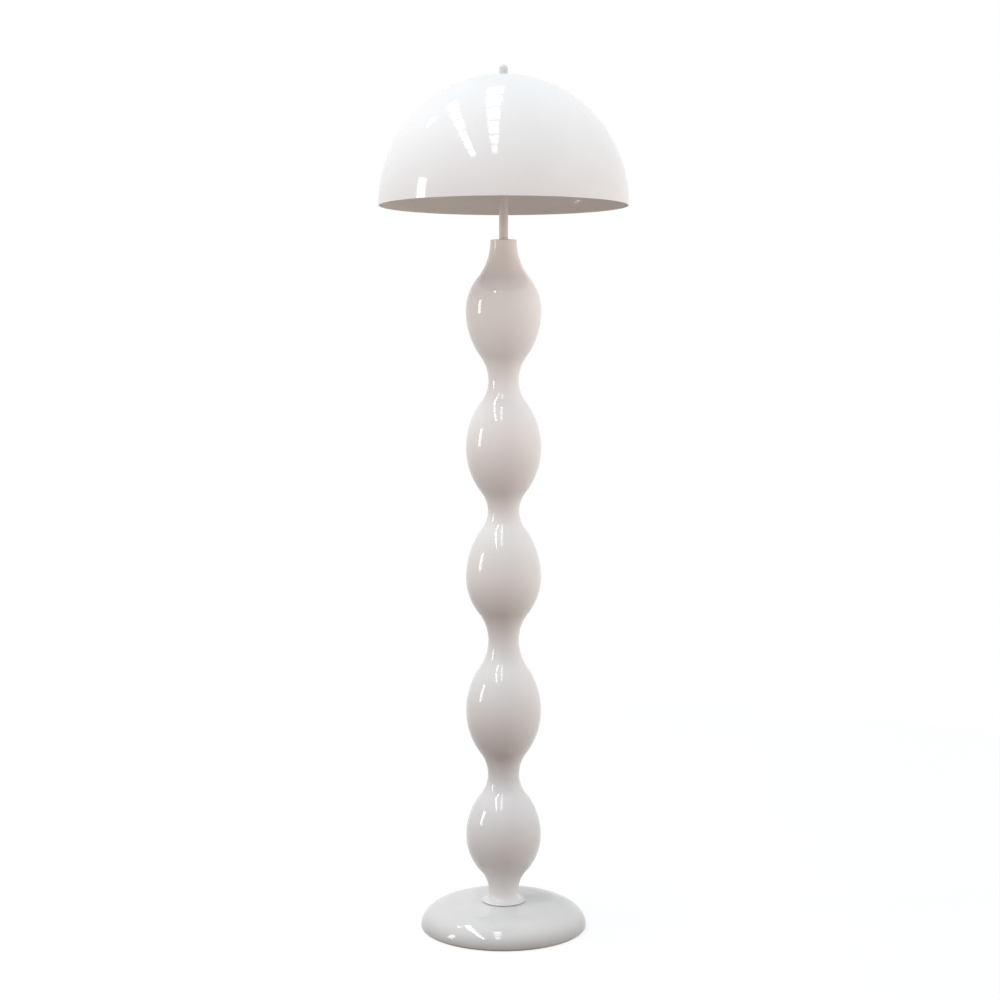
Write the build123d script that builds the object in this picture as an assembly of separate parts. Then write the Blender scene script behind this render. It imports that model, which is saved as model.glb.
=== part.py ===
from build123d import *
import os
from math import acos, atan2, cos, sin, tan

# A floor lamp: a round pebble base, a turned-looking column of five bulbs, a steel stem
# and a half-egg shade held by a harp over one screw-in bulb.
# Millimetres, +Z up. The origin is on the floor, on the lamp's axis.

QUARTER_TURN = 90
HALF_TURN = 180

# ---- fits
RUNNING_CLEARANCE = 0.08      # radial, a shaft that turns or slides in its hole
SLIP_CLEARANCE = 0.25         # radial, a piece that is dropped into its place

# ---- base
BASE_RADIUS = 150.5
BASE_HEIGHT = 46.6            # from the shell's lower edge to its flat top
BASE_SHOULDER = 66.0          # how far the rounded shoulder reaches in from the rim
BASE_LOWER_EDGE = 4.7         # rounding of the rim's lower edge
FLOOR_GAP = 0.8               # floor to the shell's lower edge
BASE_WALL = 5.0
FELT_THICKNESS = 2.0
FELT_MARGIN = 8.0             # felt edge to base rim
PLATE_THICKNESS = 2.0
WEIGHT_HEIGHT = 24.0
WEIGHT_SIDE_GAP = 2.0
BOSS_RADIUS = 6.5
BOSS_CIRCLE = 85.0            # radius of the circle that the plate screws lie on
BOSS_COUNT = 3
FIRST_BOSS_ANGLE = 90         # degrees from +X; the cord inlet lies the same way
SCREW_RADIUS = 2.0
SCREW_LENGTH = 10.0
SCREW_HEAD_RADIUS = 3.8
SCREW_HEAD_HEIGHT = 1.5
SCREW_SLOT = 1.0

# ---- clamp under the weight
WASHER_RADIUS = 20.0
WASHER_THICKNESS = 2.5
NUT_ACROSS_FLATS = 24.0
NUT_HEIGHT = 6.0
STEM_END_BELOW_NUT = 2.5

# ---- cord inlet in the back of the base
INLET_BORE_RADIUS = 3.5
INLET_SLEEVE_RADIUS = 5.0
INLET_FLANGE_RADIUS = 7.0
INLET_FLANGE_THICKNESS = 1.5
INLET_SLEEVE_LENGTH = 9.0
INLET_HEIGHT = 13.0

# ---- column
FOOT_RADIUS = 39.5
FOOT_LIP = 2.4                # thickness of the flare's rounded lip
FOOT_NECK_RISE = 17.0         # base top to the narrow neck above the flare
GASKET_THICKNESS = 1.0
GASKET_MARGIN = 2.5           # gasket edge to the flare's lip
COLUMN_WALL = 4.0
BELLY_RADIUS = 68.2
NECK_RADII = (26.6, 28.6, 27.8, 28.4, 27.5, 23.8)
# each bulb: from the neck below up to its belly, and from there to the neck above
BULB_RISES = ((105.3, 110.7), (117.6, 128.4), (114.9, 119.2), (115.5, 120.7), (124.1, 126.1))
# the belly arc's share of the two radii below and above each belly
BELLY_SHARES = ((0.62, 0.68), (0.66, 0.61), (0.57, 0.75), (0.71, 0.69), (0.66, 0.48))
COLLAR_EDGE = 1.5             # rounding of the column's top edge
COLLAR_SOLID = 24.0           # the collar is solid down to here, around its bore
COLLAR_BORE_RADIUS = 15.0

# ---- bushes that centre the column on the stem
FOOT_BUSH_HEIGHT = 12.0
CAP_FLANGE_RADIUS = 19.0
CAP_FLANGE_THICKNESS = 3.0
CAP_SLEEVE_LENGTH = 20.0
CAP_NECK_WALL = 1.0           # raised ring round the stem, under the stop pin
CAP_NECK_HEIGHT = 2.0
PIN_RADIUS = 1.5
PIN_PROUD = 0.6

# ---- stem
STEM_RADIUS = 8.0
STEM_WALL = 1.2
STEM_ABOVE_COLUMN = 86.0
GROMMET_BORE_RADIUS = 5.0
GROMMET_FLANGE = 1.5
GROMMET_DEPTH = 8.0

# ---- stem plug, nipple and harp saddle
PLUG_DEPTH = 15.0
PLUG_FLANGE_RADIUS = 10.0
PLUG_FLANGE_THICKNESS = 3.0
NIPPLE_RADIUS = 5.0
NIPPLE_WALL = 1.0
SADDLE_THICKNESS = 1.5
SADDLE_WIDTH = 12.0
SADDLE_NUT_FLATS = 14.0
SADDLE_NUT_HEIGHT = 3.0

# ---- harp
HARP_WIRE_RADIUS = 1.75
HARP_FOOT_SPREAD = 27.0       # axis to leg, at the saddle
HARP_SPREAD = 54.0            # axis to leg, beside the bulb
HARP_STUB = 12.0              # saddle's upturned ends
HARP_LEG = 30.0               # straight part of each leg above its stub
HARP_FLARE_RISE = 34.0        # height over which the legs spread out
HARP_TOP_RADIUS = 46.0
HARP_FLARE_RADIUS = 26.0
SLEEVE_RADIUS = 3.2
SLEEVE_LENGTH = 16.0
STUD_RADIUS = 3.1
STUD_HUB_RADIUS = 5.0
STUD_HUB_HEIGHT = 7.5
STUD_FLANGE_RADIUS = 10.0
STUD_FLANGE_THICKNESS = 1.5

# ---- shade and finial
SHADE_RADIUS = 225.0
SHADE_HEIGHT = 233.1
SHADE_WALL = 3.0
SHADE_ABOVE_COLUMN = 60.7     # column top to the shade's rim
FINIAL_RADIUS = 7.6
FINIAL_SIDE = 10.0            # upright side below the finial's round crown
FINIAL_THREAD = 12.0          # stud above the shade
FINIAL_GAP = 0.2

# ---- lampholder
CUP_FOOT_RADIUS = 11.0
CUP_CONE_RISE = 9.0
CUP_RIM_RISE = 12.0
CUP_WALL = 1.0
CUP_FIT = 0.4                 # radial, between the cup and the lampholder's shell
HOLDER_RADIUS = 19.6
HOLDER_WALL = 0.8
HOLDER_HEIGHT = 44.0
HOLDER_BEAD = 0.9
CORE_HEIGHT = 20.0            # insulating block with the switch
THREAD_SHELL_RADIUS = 14.0
THREAD_SHELL_WALL = 0.5
THREAD_SHELL_HEIGHT = 18.0
CONTACT_RADIUS = 4.0
CONTACT_HEIGHT = 2.0
SWITCH_RISE = 11.0            # switch shaft above the bottom of the block
SWITCH_SHAFT_RADIUS = 2.0
SWITCH_SHAFT_DEPTH = 8.0      # inside the lampholder
SWITCH_REACH = 14.0           # from the lampholder to the key's blade
KEY_WIDTH = 16.0
KEY_HEIGHT = 9.0
KEY_THICKNESS = 4.0
KEY_COLLAR_RADIUS = 3.4

# ---- bulb
LAMP_CAP_LENGTH = 24.0
LAMP_CAP_TIP = 4.0
LAMP_LENGTH = 108.0
LAMP_RADIUS = 30.0
LAMP_NECK_RADIUS = 15.0
LAMP_BELLY_SHARE = 0.66       # as the column's belly shares, for the glass
LAMP_TIP_GAP = 0.3

# ---- levels that follow
SHELL_BOTTOM = FLOOR_GAP
BASE_TOP = SHELL_BOTTOM + BASE_HEIGHT
BASE_EQUATOR = SHELL_BOTTOM + BASE_LOWER_EDGE
BASE_CEILING = BASE_TOP - BASE_WALL
PLATE_BOTTOM = FELT_THICKNESS
PLATE_TOP = PLATE_BOTTOM + PLATE_THICKNESS
WEIGHT_BOTTOM = BASE_CEILING - WEIGHT_HEIGHT
WASHER_BOTTOM = WEIGHT_BOTTOM - WASHER_THICKNESS
NUT_BOTTOM = WASHER_BOTTOM - NUT_HEIGHT
STEM_BOTTOM = NUT_BOTTOM - STEM_END_BELOW_NUT
COLUMN_BOTTOM = BASE_TOP + GASKET_THICKNESS
FOOT_NECK = BASE_TOP + FOOT_NECK_RISE
COLUMN_NECK_TOP = FOOT_NECK + sum(below + above for below, above in BULB_RISES)
COLUMN_TOP = COLUMN_NECK_TOP + COLLAR_EDGE
CAP_TOP = COLUMN_TOP + CAP_NECK_HEIGHT
PIN_HEIGHT = CAP_TOP + PIN_RADIUS
STEM_TOP = COLUMN_TOP + STEM_ABOVE_COLUMN
SADDLE_BOTTOM = STEM_TOP + PLUG_FLANGE_THICKNESS
SADDLE_TOP = SADDLE_BOTTOM + SADDLE_THICKNESS
CUP_BOTTOM = SADDLE_TOP + SADDLE_NUT_HEIGHT
NIPPLE_TOP = CUP_BOTTOM + CUP_CONE_RISE
CUP_RADIUS = HOLDER_RADIUS + CUP_FIT + CUP_WALL
CUP_CONE_TOP = CUP_BOTTOM + CUP_CONE_RISE
CORE_BOTTOM = CUP_CONE_TOP + CUP_WALL
CORE_TOP = CORE_BOTTOM + CORE_HEIGHT
CONTACT_TOP = CORE_TOP + CONTACT_HEIGHT
HOLDER_TOP = CORE_BOTTOM + HOLDER_HEIGHT
SWITCH_HEIGHT = CORE_BOTTOM + SWITCH_RISE
LAMP_BOTTOM = CONTACT_TOP + LAMP_TIP_GAP
LAMP_TOP = LAMP_BOTTOM + LAMP_LENGTH
SHADE_RIM = COLUMN_TOP + SHADE_ABOVE_COLUMN
SHADE_TOP = SHADE_RIM + SHADE_HEIGHT
SHADE_SEAT = SHADE_TOP - SHADE_WALL
STUD_FLANGE_BOTTOM = SHADE_SEAT - STUD_FLANGE_THICKNESS
STUD_BOTTOM = STUD_FLANGE_BOTTOM - STUD_HUB_HEIGHT
HARP_CROWN = STUD_BOTTOM + STUD_HUB_HEIGHT / 2
HARP_FOOT = SADDLE_TOP + HARP_STUB
STEM_BORE = STEM_RADIUS + RUNNING_CLEARANCE


# ---- helpers
ON_ITS_FOOT = (Align.CENTER, Align.CENTER, Align.MIN)


def turned(*edges):
    """Solid of revolution about the lamp's axis from edges in (radius, height)."""
    outline = Wire(list(edges))
    return revolve(make_face(Plane.XZ * outline), Axis.Z)


def disc(radius, bottom, top):
    return Pos(0, 0, bottom) * Cylinder(radius, top - bottom, align=ON_ITS_FOOT)


def ring(inner, outer, bottom, top):
    return disc(outer, bottom, top) - disc(inner, bottom, top)


def hexagon(across_flats, bottom, top):
    outline = RegularPolygon(across_flats / 2, 6, major_radius=False)
    return Pos(0, 0, bottom) * extrude(outline, top - bottom)


def rod_along_y(radius, start, end, height):
    lying = Rot(-QUARTER_TURN, 0, 0) * Cylinder(radius, end - start, align=ON_ITS_FOOT)
    return Pos(0, start, height) * lying


def boss_places():
    angles = [FIRST_BOSS_ANGLE + 360 * number / BOSS_COUNT for number in range(BOSS_COUNT)]
    return [Rot(0, 0, angle) * Pos(BOSS_CIRCLE, 0, 0) for angle in angles]


def half_bulb(neck, belly, share, wall=0.0):
    """Two tangent arcs from a neck to a belly, both points (radius, height); upright at both ends."""
    rise = belly[1] - neck[1]
    way = 1 if rise > 0 else -1
    turn = 2 * atan2(belly[0] - neck[0], abs(rise))
    radii = abs(rise) / sin(turn)
    belly_radius = share * radii - wall
    neck_radius = (1 - share) * radii + wall
    neck = (neck[0] - wall, neck[1])
    belly = (belly[0] - wall, belly[1])

    def on_neck(angle):
        return (neck[0] + neck_radius * (1 - cos(angle)), neck[1] + way * neck_radius * sin(angle))

    def on_belly(angle):
        return (belly[0] - belly_radius * (1 - cos(angle)), belly[1] - way * belly_radius * sin(angle))

    lower = ThreePointArc(neck, on_neck(turn / 2), on_neck(turn))
    upper = ThreePointArc(on_neck(turn), on_belly(turn / 2), belly)
    return [lower, upper]


def bulb_outline(wall=0.0):
    """The column's side from the foot's neck to the collar, moved in by the wall."""
    edges = []
    height = FOOT_NECK
    for number, (below, above) in enumerate(BULB_RISES):
        share_below, share_above = BELLY_SHARES[number]
        belly = (BELLY_RADIUS, height + below)
        upper_neck = (NECK_RADII[number + 1], height + below + above)
        edges += half_bulb((NECK_RADII[number], height), belly, share_below, wall)
        edges += half_bulb(upper_neck, belly, share_above, wall)
        height += below + above
    return edges


# ---- base
def shoulder(inset_side, inset_top):
    """Quarter ellipse from the flat top out to the rim, moved in from the shell's outside."""
    across = BASE_SHOULDER - inset_side
    up = BASE_TOP - BASE_EQUATOR - inset_top
    centre = (BASE_RADIUS - BASE_SHOULDER, BASE_EQUATOR)
    return EllipticalCenterArc(centre, across, up, 0, arc_size=QUARTER_TURN)


def base_shell():
    flat = BASE_RADIUS - BASE_SHOULDER
    edge_centre = (BASE_RADIUS - BASE_LOWER_EDGE, BASE_EQUATOR)
    body = turned(
        Line((0, SHELL_BOTTOM), (edge_centre[0], SHELL_BOTTOM)),
        CenterArc(edge_centre, BASE_LOWER_EDGE, -QUARTER_TURN, QUARTER_TURN),
        shoulder(0, 0),
        Line((flat, BASE_TOP), (0, BASE_TOP)),
        Line((0, BASE_TOP), (0, SHELL_BOTTOM)),
    )
    hollow = turned(
        Line((0, 0), (BASE_RADIUS - BASE_WALL, 0)),
        Line((BASE_RADIUS - BASE_WALL, 0), (BASE_RADIUS - BASE_WALL, BASE_EQUATOR)),
        shoulder(BASE_WALL, BASE_WALL),
        Line((flat, BASE_CEILING), (0, BASE_CEILING)),
        Line((0, BASE_CEILING), (0, 0)),
    )
    stem_hole = disc(STEM_BORE, BASE_CEILING, BASE_TOP)
    inlet_hole = rod_along_y(INLET_SLEEVE_RADIUS, BASE_RADIUS / 2, BASE_RADIUS, INLET_HEIGHT)
    flange_seat = rod_along_y(INLET_FLANGE_RADIUS, inlet_face(), BASE_RADIUS + BASE_WALL, INLET_HEIGHT)
    return body - hollow - stem_hole - inlet_hole - flange_seat


def base_weight():
    flat = BASE_RADIUS - BASE_SHOULDER
    body = turned(
        Line((0, BASE_EQUATOR), (BASE_RADIUS - BASE_WALL - WEIGHT_SIDE_GAP, BASE_EQUATOR)),
        shoulder(BASE_WALL + WEIGHT_SIDE_GAP, BASE_WALL),
        Line((flat, BASE_CEILING), (0, BASE_CEILING)),
        Line((0, BASE_CEILING), (0, BASE_EQUATOR)),
    )
    body -= disc(BASE_RADIUS, 0, WEIGHT_BOTTOM)
    for place in boss_places():
        body += place * disc(BOSS_RADIUS, PLATE_TOP, WEIGHT_BOTTOM)
    for place in boss_places():
        body -= place * disc(SCREW_RADIUS + RUNNING_CLEARANCE, PLATE_TOP, PLATE_TOP + SCREW_LENGTH)
    return body - disc(STEM_RADIUS + SLIP_CLEARANCE, 0, BASE_TOP)


def base_plate():
    plate = disc(BASE_RADIUS - BASE_WALL - SLIP_CLEARANCE, PLATE_BOTTOM, PLATE_TOP)
    for place in boss_places():
        plate -= place * disc(SCREW_RADIUS + SLIP_CLEARANCE, PLATE_BOTTOM, PLATE_TOP)
    return plate


def base_felt():
    felt = disc(BASE_RADIUS - FELT_MARGIN, 0, FELT_THICKNESS)
    for place in boss_places():
        felt -= place * disc(SCREW_HEAD_RADIUS + SLIP_CLEARANCE, 0, FELT_THICKNESS)
    return felt


def plate_screw(place):
    head_bottom = PLATE_BOTTOM - SCREW_HEAD_HEIGHT
    head = disc(SCREW_HEAD_RADIUS, head_bottom, PLATE_BOTTOM)
    shank = disc(SCREW_RADIUS, PLATE_BOTTOM, PLATE_BOTTOM + SCREW_LENGTH)
    slot = Pos(0, 0, head_bottom) * Box(2 * SCREW_HEAD_RADIUS, SCREW_SLOT, SCREW_HEAD_HEIGHT)
    return place * (head + shank - slot)


def inlet_face():
    """How far back the bushing's flange sits: just under the skin at the inlet's height."""
    lean = (INLET_HEIGHT + INLET_FLANGE_RADIUS - BASE_EQUATOR) / (BASE_TOP - BASE_EQUATOR)
    return BASE_RADIUS - BASE_SHOULDER * (1 - (1 - lean**2) ** 0.5) - INLET_FLANGE_THICKNESS


def cord_bushing():
    face = inlet_face()
    flange = rod_along_y(INLET_FLANGE_RADIUS, face, face + INLET_FLANGE_THICKNESS, INLET_HEIGHT)
    sleeve = rod_along_y(INLET_SLEEVE_RADIUS, face - INLET_SLEEVE_LENGTH, face, INLET_HEIGHT)
    bore = rod_along_y(INLET_BORE_RADIUS, face - INLET_SLEEVE_LENGTH, BASE_RADIUS, INLET_HEIGHT)
    return flange + sleeve - bore


def clamp_washer():
    return ring(STEM_BORE, WASHER_RADIUS, WASHER_BOTTOM, WEIGHT_BOTTOM)


def clamp_nut():
    return hexagon(NUT_ACROSS_FLATS, NUT_BOTTOM, WASHER_BOTTOM) - disc(STEM_BORE, NUT_BOTTOM, WASHER_BOTTOM)


# ---- column
def foot_gasket():
    bore = NECK_RADII[0] - COLUMN_WALL
    return ring(bore, FOOT_RADIUS - GASKET_MARGIN, BASE_TOP, COLUMN_BOTTOM)


def column_shell():
    lip = FOOT_LIP / 2
    lip_centre = (FOOT_RADIUS - lip, COLUMN_BOTTOM + lip)
    flare_centre = (lip_centre[0], FOOT_NECK)
    flare_reach = flare_centre[0] - NECK_RADII[0]
    flare_rise = FOOT_NECK - COLUMN_BOTTOM - FOOT_LIP
    edge_centre = (NECK_RADII[-1] - COLLAR_EDGE, COLUMN_NECK_TOP)
    body = turned(
        Line((0, COLUMN_BOTTOM), (lip_centre[0], COLUMN_BOTTOM)),
        CenterArc(lip_centre, lip, -QUARTER_TURN, HALF_TURN),
        EllipticalCenterArc(flare_centre, flare_reach, flare_rise, HALF_TURN, arc_size=QUARTER_TURN),
        *bulb_outline(),
        CenterArc(edge_centre, COLLAR_EDGE, 0, QUARTER_TURN),
        Line((edge_centre[0], COLUMN_TOP), (0, COLUMN_TOP)),
        Line((0, COLUMN_TOP), (0, COLUMN_BOTTOM)),
    )
    foot_bore = NECK_RADII[0] - COLUMN_WALL
    collar_bore = NECK_RADII[-1] - COLUMN_WALL
    hollow = turned(
        Line((0, COLUMN_BOTTOM), (foot_bore, COLUMN_BOTTOM)),
        Line((foot_bore, COLUMN_BOTTOM), (foot_bore, FOOT_NECK)),
        *bulb_outline(COLUMN_WALL),
        Line((collar_bore, COLUMN_NECK_TOP), (0, COLUMN_NECK_TOP)),
        Line((0, COLUMN_NECK_TOP), (0, COLUMN_BOTTOM)),
    )
    hollow -= disc(BELLY_RADIUS, COLUMN_TOP - COLLAR_SOLID, COLUMN_TOP)
    bore = disc(COLLAR_BORE_RADIUS, COLUMN_TOP - COLLAR_SOLID, COLUMN_TOP)
    recess = disc(CAP_FLANGE_RADIUS, COLUMN_TOP - CAP_FLANGE_THICKNESS, COLUMN_TOP)
    return body - hollow - bore - recess


def foot_bush():
    bore = NECK_RADII[0] - COLUMN_WALL
    return ring(STEM_BORE, bore - RUNNING_CLEARANCE, BASE_TOP, BASE_TOP + FOOT_BUSH_HEIGHT)


def column_cap():
    flange_bottom = COLUMN_TOP - CAP_FLANGE_THICKNESS
    flange = disc(CAP_FLANGE_RADIUS - RUNNING_CLEARANCE, flange_bottom, COLUMN_TOP)
    sleeve = disc(COLLAR_BORE_RADIUS - RUNNING_CLEARANCE, flange_bottom - CAP_SLEEVE_LENGTH, flange_bottom)
    neck = disc(STEM_RADIUS + CAP_NECK_WALL, COLUMN_TOP, CAP_TOP)
    return flange + sleeve + neck - disc(STEM_BORE, flange_bottom - CAP_SLEEVE_LENGTH, CAP_TOP)


# ---- stem
def stem_tube():
    tube = ring(STEM_RADIUS - STEM_WALL, STEM_RADIUS, STEM_BOTTOM, STEM_TOP)
    return tube - rod_along_y(PIN_RADIUS + RUNNING_CLEARANCE, -STEM_RADIUS, STEM_RADIUS, PIN_HEIGHT)


def stop_pin():
    reach = STEM_RADIUS + PIN_PROUD
    return rod_along_y(PIN_RADIUS, -reach, reach, PIN_HEIGHT)


def stem_grommet():
    flange = disc(STEM_RADIUS, STEM_BOTTOM - GROMMET_FLANGE, STEM_BOTTOM)
    spigot = disc(STEM_RADIUS - STEM_WALL - RUNNING_CLEARANCE, STEM_BOTTOM, STEM_BOTTOM + GROMMET_DEPTH)
    bore = disc(GROMMET_BORE_RADIUS, STEM_BOTTOM - GROMMET_FLANGE, STEM_BOTTOM + GROMMET_DEPTH)
    return flange + spigot - bore


def stem_plug():
    spigot = disc(STEM_RADIUS - STEM_WALL - RUNNING_CLEARANCE, STEM_TOP - PLUG_DEPTH, STEM_TOP)
    flange = disc(PLUG_FLANGE_RADIUS, STEM_TOP, SADDLE_BOTTOM)
    return spigot + flange - disc(NIPPLE_RADIUS + RUNNING_CLEARANCE, STEM_TOP - PLUG_DEPTH, SADDLE_BOTTOM)


def nipple():
    return ring(NIPPLE_RADIUS - NIPPLE_WALL, NIPPLE_RADIUS, STEM_TOP - PLUG_DEPTH, NIPPLE_TOP)


# ---- harp
def harp_saddle():
    length = 2 * (HARP_FOOT_SPREAD + SADDLE_WIDTH / 2)
    strip = extrude(SlotOverall(length, SADDLE_WIDTH), SADDLE_THICKNESS)
    saddle = Pos(0, 0, SADDLE_BOTTOM) * strip
    for side in (-1, 1):
        saddle += Pos(side * HARP_FOOT_SPREAD, 0, 0) * disc(HARP_WIRE_RADIUS, SADDLE_BOTTOM, HARP_FOOT)
    return saddle - disc(NIPPLE_RADIUS + RUNNING_CLEARANCE, SADDLE_BOTTOM, SADDLE_TOP)


def saddle_nut():
    return hexagon(SADDLE_NUT_FLATS, SADDLE_TOP, CUP_BOTTOM) - disc(
        NIPPLE_RADIUS + RUNNING_CLEARANCE, SADDLE_TOP, CUP_BOTTOM
    )


def harp_bow():
    leg_top = HARP_FOOT + HARP_LEG
    flare_top = leg_top + HARP_FLARE_RISE
    right = [
        (HARP_FOOT_SPREAD, HARP_FOOT),
        (HARP_FOOT_SPREAD, leg_top),
        (HARP_SPREAD, flare_top),
        (HARP_SPREAD, HARP_CROWN),
    ]
    left = [(-across, height) for across, height in reversed(right)]
    radii = [HARP_FLARE_RADIUS, HARP_FLARE_RADIUS, HARP_TOP_RADIUS]
    path = Plane.XZ * FilletPolyline(*right, *left, radius=radii + radii[::-1])
    start = Plane(origin=path @ 0, z_dir=path % 0)
    return sweep(start * Circle(HARP_WIRE_RADIUS), path=path)


def harp_stud():
    hub = disc(STUD_HUB_RADIUS, STUD_BOTTOM, STUD_FLANGE_BOTTOM)
    flange = disc(STUD_FLANGE_RADIUS, STUD_FLANGE_BOTTOM, SHADE_SEAT)
    stud = disc(STUD_RADIUS, SHADE_SEAT, SHADE_TOP + FINIAL_THREAD)
    across = 2 * STUD_HUB_RADIUS
    wire_hole = Rot(0, QUARTER_TURN, 0) * Cylinder(HARP_WIRE_RADIUS + RUNNING_CLEARANCE, across)
    return hub + flange + stud - Pos(0, 0, HARP_CROWN) * wire_hole


def harp_sleeve(side):
    bore = HARP_WIRE_RADIUS + RUNNING_CLEARANCE
    sleeve = ring(bore, SLEEVE_RADIUS, SADDLE_TOP, SADDLE_TOP + SLEEVE_LENGTH)
    return Pos(side * HARP_FOOT_SPREAD, 0, 0) * sleeve


# ---- shade
def egg_side(radius, height, hole_radius):
    """Side of a half egg as one curve, from its rim at height 0 up and in to the hole at its top."""
    sweep_angle = acos(hole_radius / radius)
    rim = (radius, 0)
    shoulder_point = (radius, height * tan(sweep_angle / 2))
    top = (hole_radius, height * sin(sweep_angle))
    return Bezier(rim, shoulder_point, top, weights=[1, cos(sweep_angle / 2), 1])


def shade():
    hole = STUD_RADIUS + SLIP_CLEARANCE
    seat = STUD_FLANGE_RADIUS + SLIP_CLEARANCE
    seat_height = SHADE_HEIGHT - SHADE_WALL
    outside = egg_side(SHADE_RADIUS, SHADE_HEIGHT, hole)
    inside = egg_side(SHADE_RADIUS - SHADE_WALL, seat_height, seat)
    shell = turned(
        Line(inside @ 0, outside @ 0),
        outside,
        Line(outside @ 1, (hole, seat_height)),
        Line((hole, seat_height), (seat, seat_height)),
        Line((seat, seat_height), inside @ 1),
        inside,
    )
    return Pos(0, 0, SHADE_RIM) * shell


def finial():
    body = turned(
        Line((0, 0), (FINIAL_RADIUS, 0)),
        Line((FINIAL_RADIUS, 0), (FINIAL_RADIUS, FINIAL_SIDE)),
        CenterArc((0, FINIAL_SIDE), FINIAL_RADIUS, 0, QUARTER_TURN),
        Line((0, FINIAL_SIDE + FINIAL_RADIUS), (0, 0)),
    )
    bore = disc(STUD_RADIUS + RUNNING_CLEARANCE, 0, FINIAL_THREAD + SLIP_CLEARANCE)
    return Pos(0, 0, SHADE_TOP + FINIAL_GAP) * (body - bore)


# ---- lampholder
def holder_cup():
    outside = turned(
        Line((0, CUP_BOTTOM), (CUP_FOOT_RADIUS, CUP_BOTTOM)),
        Line((CUP_FOOT_RADIUS, CUP_BOTTOM), (CUP_RADIUS, CUP_CONE_TOP)),
        Line((CUP_RADIUS, CUP_CONE_TOP), (CUP_RADIUS, CUP_CONE_TOP + CUP_RIM_RISE)),
        Line((CUP_RADIUS, CUP_CONE_TOP + CUP_RIM_RISE), (0, CUP_CONE_TOP + CUP_RIM_RISE)),
        Line((0, CUP_CONE_TOP + CUP_RIM_RISE), (0, CUP_BOTTOM)),
    )
    inside = turned(
        Line((0, CUP_BOTTOM + CUP_WALL), (CUP_FOOT_RADIUS - CUP_WALL, CUP_BOTTOM + CUP_WALL)),
        Line((CUP_FOOT_RADIUS - CUP_WALL, CUP_BOTTOM + CUP_WALL), (CUP_RADIUS - CUP_WALL, CORE_BOTTOM)),
        Line((CUP_RADIUS - CUP_WALL, CORE_BOTTOM), (CUP_RADIUS - CUP_WALL, CUP_CONE_TOP + CUP_RIM_RISE)),
        Line((CUP_RADIUS - CUP_WALL, CUP_CONE_TOP + CUP_RIM_RISE), (0, CUP_CONE_TOP + CUP_RIM_RISE)),
        Line((0, CUP_CONE_TOP + CUP_RIM_RISE), (0, CUP_BOTTOM + CUP_WALL)),
    )
    switch_notch = rod_along_y(SWITCH_SHAFT_RADIUS + 2 * SLIP_CLEARANCE, -CUP_RADIUS, 0, SWITCH_HEIGHT)
    nipple_hole = disc(NIPPLE_RADIUS + RUNNING_CLEARANCE, CUP_BOTTOM, CUP_BOTTOM + CUP_WALL)
    return outside - inside - nipple_hole - switch_notch


def holder_shell():
    shell = ring(HOLDER_RADIUS - HOLDER_WALL, HOLDER_RADIUS, CORE_BOTTOM, HOLDER_TOP)
    bead_path = Pos(0, 0, HOLDER_TOP) * Torus(HOLDER_RADIUS - HOLDER_WALL / 2, HOLDER_BEAD)
    hole = rod_along_y(SWITCH_SHAFT_RADIUS + 2 * SLIP_CLEARANCE, -HOLDER_RADIUS, 0, SWITCH_HEIGHT)
    return shell + bead_path - hole


def holder_core():
    radius = HOLDER_RADIUS - HOLDER_WALL - RUNNING_CLEARANCE
    liner_top = CORE_TOP + THREAD_SHELL_HEIGHT
    block = disc(radius, CORE_BOTTOM, liner_top)
    block -= disc(THREAD_SHELL_RADIUS + RUNNING_CLEARANCE, CORE_TOP, liner_top)
    shaft_radius = SWITCH_SHAFT_RADIUS + RUNNING_CLEARANCE
    shaft_end = -HOLDER_RADIUS + SWITCH_SHAFT_DEPTH + SLIP_CLEARANCE
    return block - rod_along_y(shaft_radius, -HOLDER_RADIUS, shaft_end, SWITCH_HEIGHT)


def thread_shell():
    bore = THREAD_SHELL_RADIUS - THREAD_SHELL_WALL
    return ring(bore, THREAD_SHELL_RADIUS, CORE_TOP, CORE_TOP + THREAD_SHELL_HEIGHT)


def centre_contact():
    return disc(CONTACT_RADIUS, CORE_TOP, CONTACT_TOP)


def switch_key():
    blade_back = -HOLDER_RADIUS - SWITCH_REACH
    shaft_end = -HOLDER_RADIUS + SWITCH_SHAFT_DEPTH
    shaft = rod_along_y(SWITCH_SHAFT_RADIUS, blade_back, shaft_end, SWITCH_HEIGHT)
    collar = rod_along_y(KEY_COLLAR_RADIUS, blade_back, blade_back + SWITCH_REACH / 2, SWITCH_HEIGHT)
    blade = extrude(Plane.XZ * SlotOverall(KEY_WIDTH, KEY_HEIGHT), KEY_THICKNESS)
    return shaft + collar + Pos(0, blade_back, SWITCH_HEIGHT) * blade


# ---- bulb
def lamp_cap():
    radius = THREAD_SHELL_RADIUS - THREAD_SHELL_WALL - RUNNING_CLEARANCE
    shoulder_height = LAMP_BOTTOM + LAMP_CAP_TIP
    return turned(
        Line((0, LAMP_BOTTOM), (CONTACT_RADIUS, LAMP_BOTTOM)),
        Line((CONTACT_RADIUS, LAMP_BOTTOM), (radius, shoulder_height)),
        Line((radius, shoulder_height), (radius, LAMP_BOTTOM + LAMP_CAP_LENGTH)),
        Line((radius, LAMP_BOTTOM + LAMP_CAP_LENGTH), (0, LAMP_BOTTOM + LAMP_CAP_LENGTH)),
        Line((0, LAMP_BOTTOM + LAMP_CAP_LENGTH), (0, LAMP_BOTTOM)),
    )


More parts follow.
